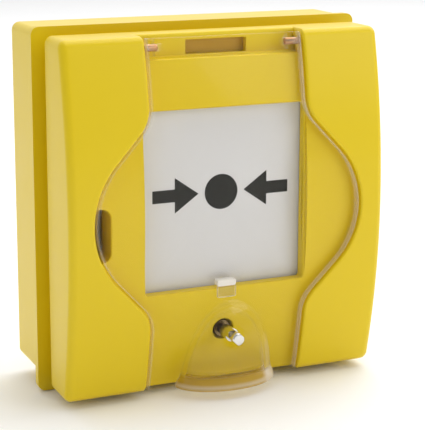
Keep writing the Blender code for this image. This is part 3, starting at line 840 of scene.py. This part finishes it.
# %% Clear finish
def clear_plastic():
    paint = Paint("clear_cover_finish", (1.0, 1.0, 1.0), 0.07, 1.0)
    rim, warmth, gloss = (paint.node("ShaderNodeAttribute", {"attribute_name": name}, output=2)
                          for name in ("rim", "warmth", "gloss"))
    glance = paint.node("ShaderNodeLayerWeight", {}, {"Blend": 0.5}, output=1)
    wipe = paint.noise(70.0, detail=3.0)
    # Painted light: on edges and lips the colour is a whitish painted edge light, turned towards yellow by a
    # painted reflection of the housing.
    painted_edge_colour = paint.blend(warmth, (0.93, 0.90, 0.86), (0.50, 0.31, 0.025))
    paint.set("Base Color", paint.blend(paint.band(rim, 0.0, 0.15), (1.0, 1.0, 1.0), painted_edge_colour))
    paint.set("Metallic", paint.band(rim, 0.15, 0.0))
    paint.set("Roughness", 0.04 + wipe * 0.05)
    paint.bump(paint.noise(35.0, detail=1.0), 0.00003, 0.35)
    tree = paint.tree
    through = tree.nodes.new("ShaderNodeBsdfTransparent")
    through.inputs["Color"].default_value = (0.995, 0.99, 0.975, 1)
    mix = tree.nodes.new("ShaderNodeMixShader")
    share = (0.005 + glance ** 4.0 * gloss * 0.5 + rim * 0.9).maths("MINIMUM", 0.92)
    tree.links.new(share.socket, mix.inputs[0])
    tree.links.new(through.outputs[0], mix.inputs[1])
    tree.links.new(paint.shader.outputs[0], mix.inputs[2])
    tree.links.new(mix.outputs[0], tree.nodes["Material Output"].inputs["Surface"])
    return paint.material


CLEAR = clear_plastic()
print("made", CLEAR.name)


# %% Cover sheet, hood and barrel
COVER_T, COVER_SINK, COVER_GAP, COVER_HALF_H = 2.0, 0.2, 0.6, 44.3
HOOD_TOP, HOOD_HALF_W, HOOD_OUT, HOOD_WALL = -21.8, 12.5, 8.4, 1.6
BARREL_R, BARREL_HALF = 2.1, 18.0


def cover_sheet():
    """The flat part: a grid across the vase on the swelling front, with quarter-turn edges."""
    edge = 0.35
    side, normal = vase_curve(COVER_HALF_H - edge, -COVER_GAP - edge)
    crowded = 1.45               # columns as sines up to this angle lie closer near both edges
    x = side[:, :1] * np.sin(np.linspace(-crowded, crowded, 41)) / math.sin(crowded)
    field = np.stack([x, np.broadcast_to(side[:, 1:], x.shape)], 2)
    lines = border(field)
    outs = [normal * (-1, 1) * edge, np.array([(0.0, edge)]), (normal * edge)[::-1], np.array([(0.0, -edge)])]
    ring, out = [], []
    for i in range(4):
        ring.append(lines[i])
        out.append(np.broadcast_to(outs[i], (len(lines[i]), 2)))
        turn = np.linspace(0, math.pi / 2, 6)[1:-1, None]
        ring.append(np.repeat(lines[i][-1:], len(turn), 0))
        out.append(outs[i][-1] * np.cos(turn) + outs[(i + 1) % 4][0] * np.sin(turn))
    ring, out = np.concatenate(ring), np.concatenate(out)
    rows = []
    for turn in np.linspace(0, math.pi, 11):
        flat = ring + out * math.sin(turn)
        depth = COVER_T / 2 - (COVER_T / 2 - edge) * np.sign(math.cos(turn)) - edge * math.cos(turn)
        rows.append(at_depth(flat, front_y(flat[:, 1]) + COVER_SINK + depth))
    faces = [at_depth(field, front_y(field[..., 1]) + COVER_SINK + depth) for depth in (0, COVER_T)]
    return mesh_of("clear_cover_visual", (faces[0], False), (np.stack(rows), True), (faces[1], False))


def hood_solid(half_width, reach, top, bottom, behind, lip=0.0):
    """Slices that grow from the hood's top to its mouth; each is half an ellipse on the front.

    Width follows a quarter circle and flares by a millimetre near the mouth; lip thickens the last
    two millimetres into a bead of half an ellipse."""
    angle = np.linspace(0, math.pi, 40)
    bead_half, flare_from = 1.15, 0.72
    rings = []
    for share in np.linspace(0.01, 1, 34) ** 1.35:
        z = top + (bottom - top) * share
        bead = lip * math.sqrt(max(0.0, 1 - ((z - bottom - 1.0) / bead_half) ** 2))
        flare = 0.9 * max(0.0, (share - flare_from) / (1 - flare_from)) ** 2
        width = half_width * math.sqrt(1 - (1 - share) ** 2) + bead + flare
        out = reach * share ** 0.85 + bead
        arc_points = np.stack([width * np.cos(angle), front_y(z) + COVER_SINK - out * np.sin(angle),
                               np.full(angle.size, z)], 1)
        back = float(front_y(z)) + behind
        rings.append(np.concatenate([[(width, back, z)], arc_points, [(-width, back, z)]]))
    return mesh_of("hood", (capped(rings), True))


barrel = turned_solid("barrel", (-BARREL_HALF, HINGE_Y, HINGE_Z), (1, 0, 0),
                      [(0, BARREL_R - 0.25), (0.08, BARREL_R - 0.08), (0.25, BARREL_R),
                       (2 * BARREL_HALF - 0.25, BARREL_R), (2 * BARREL_HALF - 0.08, BARREL_R - 0.08),
                       (2 * BARREL_HALF, BARREL_R - 0.25)])
pin_holes = [turned_solid("hole", (side * (BARREL_HALF - 1.8), HINGE_Y, HINGE_Z), (side, 0, 0),
                          [(0, PIN_R + PIN_PLAY), (8, PIN_R + PIN_PLAY)], 40) for side in (-1, 1)]
hood_hole = turned_solid("hole", (0, -20, STUD_Z), (0, -1, 0), [(0, 3.0), (40, 3.0)])
cover_mesh = carve(
    cover_sheet(),
    ("UNION", barrel),
    ("UNION", hood_solid(HOOD_HALF_W, HOOD_OUT, HOOD_TOP, -COVER_HALF_H, COVER_SINK + 1.7, lip=0.45)),
    ("DIFFERENCE", hood_solid(HOOD_HALF_W - HOOD_WALL, HOOD_OUT - HOOD_WALL, HOOD_TOP - 2.1,
                              -COVER_HALF_H - 0.2, 6.0)),
    ("DIFFERENCE", pin_holes[0]), ("DIFFERENCE", pin_holes[1]), ("DIFFERENCE", hood_hole))


def write_marks(mesh, **marks):
    """Stores one number per vertex under each name."""
    for name, values in marks.items():
        field = mesh.attributes.new(name, "FLOAT", "POINT")
        field.data.foreach_set("value", np.asarray(values, np.float32))


def places(mesh):
    """x, y and z of all vertices, in millimetres."""
    co = np.zeros(len(mesh.vertices) * 3)
    mesh.vertices.foreach_get("co", co)
    return (co.reshape(-1, 3) / MM).T


def ramp(value, start, end):
    """0 up to start, 1 from end on, and straight between; start may be the higher one."""
    return np.clip((value - start) / (end - start), 0, 1)


def mark_cover(mesh):
    """Marks of painted light: painted edge light, high on the outline and the hood's lip, and painted yellow
    reflection of the housing, high on the hood.
    """
    x, y, z = places(mesh)
    stands_out = front_y(z) + COVER_SINK - y          # how far a point is in front of the sheet
    hood = (stands_out > 0.12) & (z < HOOD_TOP + 1)
    barrel = (z > 39.4) & (np.abs(x) < BARREL_HALF + 0.2) & (stands_out < -2.05)
    # Painted edge light along the outline, the hood's foot, mouth, lip and right flank, and the barrel's
    # ends; painted yellow reflection on the hood and a little elsewhere.
    outline = 0.42 * ramp(vase_half(z, -COVER_GAP) - np.abs(x), 0.45, 0)
    foot = ramp(np.abs(stands_out - 0.5), 0.6, 0)
    mouth = ramp(z, -40.0, -41.6)
    lip = ramp(np.abs(z + 43.3), 0.8, 0)
    flank = ramp(x, 8.0, 9.5) * ramp(z, -31.0, -34.0) * (stands_out > 1.2)
    hood_rim = np.maximum(np.maximum(0.01 + 0.10 * foot, 0.95 * mouth), 0.25 * flank)
    barrel_rim = 0.3 * (np.abs(x) > BARREL_HALF - 0.15)
    write_marks(mesh, rim=np.where(barrel, barrel_rim, np.where(hood, hood_rim, outline)),
                warmth=np.where(hood, 1 - 0.5 * np.maximum(0.8 * lip, flank), 0.3),
                gloss=np.where(barrel, 0.1, np.where(hood, 0.3, 1.0)))


mark_cover(cover_mesh)
cover_piece = piece(cover_mesh, CLEAR, "cover", ["clear_cover"], sharp=40)
cover_piece.visible_shadow = False


# %% [markdown]
# ## Catch
# The catch is a tongue moulded on the cover's inner face. Its thin plate lies on the panel below
# the window, and a lug along its top reaches over the sill and snaps behind it. The lug is painted
# opaque white, a painted highlight, and the plate is only seen by its edges, which get painted edge
# light.

# %% Tongue and lug
catch_low, catch_high = box_mm("cover_latch")
CATCH_W, SILL_Z, TONGUE_T = catch_high[0] - catch_low[0], -18.9, 0.6


def small_plate(width, bottom, top, near, far, edge):
    """A plate of a width between two heights, with an inner ring near each face's edge."""
    outline = rounded_outline(width, top - bottom, 0.45, (0, (top + bottom) / 2), 5)
    return slab("catch", outline, near, far, edge, 3, 0.2)


tongue_y = catch_low[1]
tongue = small_plate(CATCH_W, catch_low[2], SILL_Z + 0.1, tongue_y, tongue_y + TONGUE_T, 0.12)
lug_block = small_plate(CATCH_W - 0.04, SILL_Z, catch_high[2], tongue_y + 0.03, catch_high[1], 0.2)
catch = carve(tongue, ("UNION", lug_block))
x, y, z = places(catch)
edge_gap = np.minimum(np.minimum(CATCH_W / 2 - np.abs(x), z - catch_low[2]), catch_high[2] - z)
lug = z > SILL_Z - 0.01
# Painted highlight: the lug is opaque white; the plate's edges get painted edge light and a little painted
# yellow reflection.
write_marks(catch, rim=np.where(lug, 0.95, 0.03 + 0.4 * ramp(edge_gap, 0.28, 0)),
            warmth=np.where(lug, 0.0, 0.2), gloss=np.ones(len(x)))
catch_piece = piece(catch, CLEAR, "cover", ["cover_latch"], sharp=40)
catch_piece.visible_shadow = False


# %% [markdown]
# ## Sealing stud and hinge pins
# The stud is turned from bright steel: a thread in the post, a collar, a body and a flattened tip
# with a cross hole for a seal wire. Turned steel keeps fine rings round its axis, which stretch a
# highlight across them. The hinge pins are drawn brass wire with small chamfers.

# %% Metals
def turned_steel(name="bright_turned_steel", axis="Y", shade_from=-1.0):
    """Turned steel; painted shade darkens it brown where its axis' coordinate, in metres, is above the depth
    given last.
    """
    paint = Paint(name, (0.70, 0.69, 0.67), 0.2, 1.0)
    rings = paint.node("ShaderNodeTexNoise", {"noise_dimensions": "1D"},
                       {"W": paint.axis(axis) * 9000.0, "Scale": 1.0, "Detail": 2.0})
    haze = paint.noise(900.0, detail=3.0)
    bright = paint.blend(haze, (0.62, 0.61, 0.59), (0.78, 0.77, 0.745))
    if shade_from > -1.0:
        # Painted shade: brown darkening past that depth, where the stud goes into its hole.
        painted_shade = paint.band(paint.axis(axis) + (haze - 0.5) * 0.0008, shade_from - 0.0012, shade_from)
        bright = paint.blend(painted_shade, bright, (0.20, 0.145, 0.07))
    paint.set("Base Color", bright)
    paint.set("Roughness", 0.14 + haze * 0.14 + rings * 0.06)
    paint.bump(rings, 0.000012, 0.5)
    return paint.material


def drawn_brass():
    paint = Paint("drawn_brass", (0.48, 0.26, 0.08), 0.28, 1.0)
    draw = paint.noise(1800.0, detail=3.0)
    paint.set("Base Color", paint.blend(draw, (0.34, 0.15, 0.05), (0.54, 0.28, 0.10)))
    paint.set("Roughness", 0.14 + draw * 0.14)
    paint.bump(draw, 0.00001, 0.4)
    return paint.material


# Painted shade on the stud from this depth back, where it enters its hole behind the panel.
SHADE_FROM = -0.0335             # metres along Y: the stud's foot, behind the panel
STEEL, BRASS = turned_steel(), drawn_brass()
STUD_STEEL = turned_steel("stud_steel", "Y", SHADE_FROM)
print("made", STEEL.name, BRASS.name)


# %% Stud
stud_low, stud_high = box_mm("sealing_stud")
STUD_FOOT, STUD_TIP, STUD_R = stud_high[1], stud_low[1], 1.7
length = STUD_FOOT - STUD_TIP
thread = [(0.5 + 0.175 * i, 1.2 if i % 2 else 1.04) for i in range(41)]
collar = [(7.8, 1.2), (7.8, 2.1), (7.95, 2.25), (8.1, 2.3), (9.3, 2.3), (9.45, 2.25), (9.6, 2.1)]
neck = [(9.6, 1.35), (9.75, 1.3), (11.45, 1.3), (11.6, 1.35)]
tip = [(11.6, 1.5), (11.75, 1.65), (11.9, STUD_R), (length - 0.55, STUD_R), (length - 0.25, STUD_R * 0.92),
       (length - 0.07, STUD_R * 0.8), (length, STUD_R * 0.62)]
across = np.array((-1.0, 0, 1.0)) / math.sqrt(2)
stud_mesh = carve(
    turned_solid("seal_stud", (0, STUD_FOOT, STUD_Z), (0, -1, 0),
                 [(0, 0.8), *thread, *collar, *neck, *tip], 72),
    *[("DIFFERENCE", box_block((x, STUD_TIP - 1, -3), (x + 2.75, STUD_TIP + 4.4, 3), 45, (0, STUD_Z)))
      for x in (-4, 1.25)],
    ("DIFFERENCE", turned_solid("hole", np.array((0, STUD_TIP + 2.3, STUD_Z)) - across * 4, across,
                                [(0, 1.05), (8, 1.05)], 40)))
piece(stud_mesh, STUD_STEEL, "base", ["sealing_stud"], sharp=28)

SHORTER = 0.7                    # the pins reach this much less far into the barrel
for label, side in (("left", -1), ("right", 1)):
    low, high = box_mm("hinge_pin_" + label)
    length = high[0] - low[0] - SHORTER
    start_x = (low if side > 0 else high)[0] + side * SHORTER
    pin = turned_solid("pin_" + label, (start_x, HINGE_Y, HINGE_Z), (side, 0, 0),
                       [(0, 0.6), (0.12, 0.8), (0.3, PIN_R), (length - 0.3, PIN_R), (length - 0.12, 0.8),
                        (length, 0.6)], 40)
    piece(pin, BRASS, "base", ["hinge_pin_" + label])
print("stud and pins done")


# %% [markdown]
# ## Screws
# Every screw here is a plain slotted pan head. Its outline from the crown of the head to the point
# is turned about its axis, with ridges for the thread, and the slot is cut last. The thread is a
# row of rings instead of a helix: the two can't be told apart once the screw is in its hole.

# %% Screws
def screw(node, axis, towards, head_h, shank_r, pitch=0.5):
    """A slotted screw that fills the node's box; it points along an axis, towards +1 or -1."""
    low, high = box_mm(node)
    start, along = (low + high) / 2, np.zeros(3)
    start[axis] = low[axis] if towards > 0 else high[axis]
    along[axis] = towards
    other = [i for i in range(3) if i != axis]
    head_r, full = (high[other[0]] - low[other[0]]) / 2, high[axis] - low[axis]
    core_r = shank_r * 0.86
    profile = [(head_h * 0.5 * (1 - math.sin(turn)), head_r * (0.62 + 0.38 * math.cos(turn)))
               for turn in np.linspace(0, math.pi / 2, 6)[::-1]]
    profile += [(head_h * 0.92, head_r), (head_h, head_r * 0.97), (head_h, core_r)]
    for i in range(int((full - head_h - shank_r) / pitch)):
        here = head_h + 0.1 + i * pitch
        profile += [(here + pitch * 0.3, core_r), (here + pitch * 0.55, shank_r),
                    (here + pitch * 0.65, shank_r)]
    profile += [(full - shank_r * 0.6, core_r), (full, shank_r * 0.45)]
    body = turned_solid("screw_" + node, start, along, profile, 36)
    slot_low, slot_high = start - head_r * 1.5, start + head_r * 1.5
    narrow = 2 if axis == 1 else 1
    slot_low[narrow], slot_high[narrow] = start[narrow] - head_r * 0.14, start[narrow] + head_r * 0.14
    slot_low[axis], slot_high[axis] = sorted((start[axis] - towards, start[axis] + towards * head_h * 0.45))
    made = carve(body, ("DIFFERENCE", box_block(slot_low, slot_high)))
    piece(made, ZINC, frame["nodes"][node]["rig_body"], [node], sharp=35)


ZINC = turned_steel("zinc_plated_steel", "X")
for number in range(1, 5):
    screw(f"chassis_screw_{number}", 1, 1, 1.8, 1.25)
    screw(f"terminal_screw_{number}", 1, -1, 1.4, 1.2)
for side in ("left", "right"):
    screw(f"shell_screw_{side}", 2, 1, 0.8, 1.15)
    screw(f"board_screw_{side}", 1, 1, 1.2, 1.1)


# %% [markdown]
# ## Rubber and dark mouldings
# The gasket and the grommet are soft black rubber: dull, with a faint bloom. The switch, the
# terminals and the key cam are glass-filled nylon, whose short fibres break up the gloss. The
# frame round the element is grey. One function makes all of them from a colour and a grain.

# %% Dull finishes
def dull_plastic(name, colour, roughness, grain, bloom=0.25):
    """A matt finish: colour lifted by bloom in soft patches, and a grain of so many per metre."""
    paint = Paint(name, colour, roughness, Specular_IOR_Level=0.4)
    patches = paint.noise(160.0, detail=4.0, rough=0.6)
    lifted = tuple(min(1.0, channel * (1 + bloom) + 0.01 * bloom) for channel in colour)
    paint.set("Base Color", paint.blend(patches, colour, lifted))
    speckle = paint.noise(grain, detail=2.0)
    paint.set("Roughness", (roughness - 0.08) + speckle * 0.16)
    paint.bump(speckle, 0.00003, 0.5)
    return paint.material


RUBBER = dull_plastic("black_rubber", (0.020, 0.020, 0.020), 0.75, 2500.0, 0.7)
NYLON = dull_plastic("black_nylon", (0.026, 0.026, 0.028), 0.48, 5000.0)
GREY = dull_plastic("grey_moulding", (0.23, 0.235, 0.245), 0.5, 3500.0, 0.12)
for finish, slot_name, edges in (
        (RUBBER, "black_rubber", (("box_gasket", 0.15), ("cable_grommet", 0.25))),
        (NYLON, "dark_plastic", (("microswitch_body", 0.15), ("terminal_block", 0.25), ("reset_cam", 0.12))),
        (GREY, "grey_plastic", (("element_guide", 0.25),)),
        (WHITE, "white_plastic", (("wiring_header", 0.2), ("switch_plunger", 0.12)))):
    for node, width in edges:
        softened(node, finish, width)


# %% [markdown]
# ## Circuit board
# The board is glass-fibre laminate under a green mask. Copper tracks run under the mask as paler
# lines, mostly across and up, and bare pads shine through it. The tracks are two sets of stripes,
# each kept only in patches; the pads are the middles of a cell pattern.

# %% Board, lamp and resistor
def board_finish():
    paint = Paint("green_board", (0.012, 0.12, 0.04), 0.3, Specular_IOR_Level=0.5)
    patches = paint.noise(110.0, detail=1.0)
    across = paint.axis("X") * 5000.0
    up = paint.axis("Z") * 5000.0
    lines_up = paint.band(across.maths("SINE"), 0.45, 0.7) * paint.band(patches, 0.5, 0.53)
    lines_across = paint.band(up.maths("SINE"), 0.45, 0.7) * paint.band(patches, 0.42, 0.39)
    tracks = (lines_up + lines_across).maths("MINIMUM", 1.0)
    cells = paint.node("ShaderNodeTexVoronoi", {},
                       {"Vector": paint.place, "Scale": 260.0, "Randomness": 0.35})
    pads = paint.band(cells, 0.17, 0.14)
    masked = paint.blend(tracks, (0.010, 0.10, 0.032), (0.022, 0.19, 0.06))
    paint.set("Base Color", paint.blend(pads, masked, (0.62, 0.61, 0.57)))
    paint.set("Metallic", pads * 0.9)
    paint.set("Roughness", 0.28 + paint.noise(600.0) * 0.12)
    paint.bump(tracks + pads, 0.00003, 0.6)
    return paint.material


def lens_finish():
    paint = Paint("red_lens", (0.50, 0.012, 0.010), 0.12, Specular_IOR_Level=0.6)
    depth = paint.band(paint.axis("Y"), -0.0258, -0.0212)
    paint.set("Base Color", paint.blend(depth, (0.62, 0.020, 0.014), (0.30, 0.006, 0.006)))
    paint.set("Roughness", 0.10 + paint.noise(500.0) * 0.06)
    return paint.material


def resistor_finish():
    """Tan lacquer with four painted bands across it, and tinned wires at both ends."""
    paint = Paint("banded_resistor", (0.55, 0.40, 0.22), 0.35)
    x = paint.axis("X") * 1000.0
    low, high = box_mm("alarm_resistor")
    first, last = low[0] + 2.0, high[0] - 2.0         # the bead's ends, between its wires
    colour = paint.blend(paint.noise(900.0), (0.52, 0.38, 0.20), (0.60, 0.45, 0.26))
    for place, tint in ((0.9, (0.45, 0.20, 0.02)), (2.3, (0.02, 0.02, 0.02)),
                        (3.4, (0.40, 0.02, 0.02)), (5.4, (0.50, 0.33, 0.08))):
        inside = paint.band(abs(x - (first + place)), 0.34, 0.30)
        colour = paint.blend(inside, colour, tint)
    wire = (paint.band(x, first + 0.04, first) + paint.band(x, last - 0.04, last)).maths("MINIMUM", 1.0)
    paint.set("Base Color", paint.blend(wire, colour, (0.70, 0.69, 0.66)))
    paint.set("Metallic", wire)
    return paint.material


softened("circuit_board", board_finish(), 0.1)
led_low, led_high = box_mm("status_led")
led_middle = (led_low + led_high) / 2
dome = [(3.0 + 1.7 * math.sin(turn), 1.9 * math.cos(turn))
        for turn in np.linspace(0, math.pi / 2, 10)[:-1]]
led = turned_solid("lamp_dome", (led_middle[0], led_high[1], led_middle[2]), (0, -1, 0),
                   [(0, 2.2), (0.1, 2.3), (0.9, 2.3), (1.0, 2.2), (1.0, 1.9), *dome, (4.7, 0.15)], 48)
piece(led, lens_finish(), "base", ["status_led"])

res_low, res_high = box_mm("alarm_resistor")
_, middle_y, middle_z = (res_low + res_high) / 2
bead = [(0, 0.25), (0.05, 0.3), (1.95, 0.3), (2.0, 0.8), (2.2, 1.1), (2.6, 1.25), (3.4, 1.25), (3.8, 1.08),
        (4.2, 1.0), (6.3, 1.0), (6.7, 1.08), (7.1, 1.25), (7.9, 1.25), (8.3, 1.1), (8.45, 0.8), (8.5, 0.3),
        (10.45, 0.3), (10.5, 0.25)]
resistor = turned_solid("banded_bead", (res_low[0], middle_y, middle_z), (1, 0, 0), bead, 40)
piece(resistor, resistor_finish(), "base", ["alarm_resistor"])


# %% [markdown]
# ## Switch leaf and its pin
# The leaf is a strip of spring steel rolled round a pin. It keeps the working model's shape with
# softened edges, and a brushed finish runs along the strip.

# %% Switch leaf and pin
softened("switch_lever", STEEL, 0.08)
pin_low, pin_high = box_mm("lever_pin")
pin_middle = (pin_low + pin_high) / 2
pin_r, length = (pin_high[0] - pin_low[0]) / 2, pin_high[2] - pin_low[2]
pin = turned_solid("leaf_pin", (pin_middle[0], pin_middle[1], pin_low[2]), (0, 0, 1),
                   [(0, pin_r * 0.7), (0.12, pin_r), (length - 0.12, pin_r), (length, pin_r * 0.7)], 32)
piece(pin, ZINC, "base", ["lever_pin"])
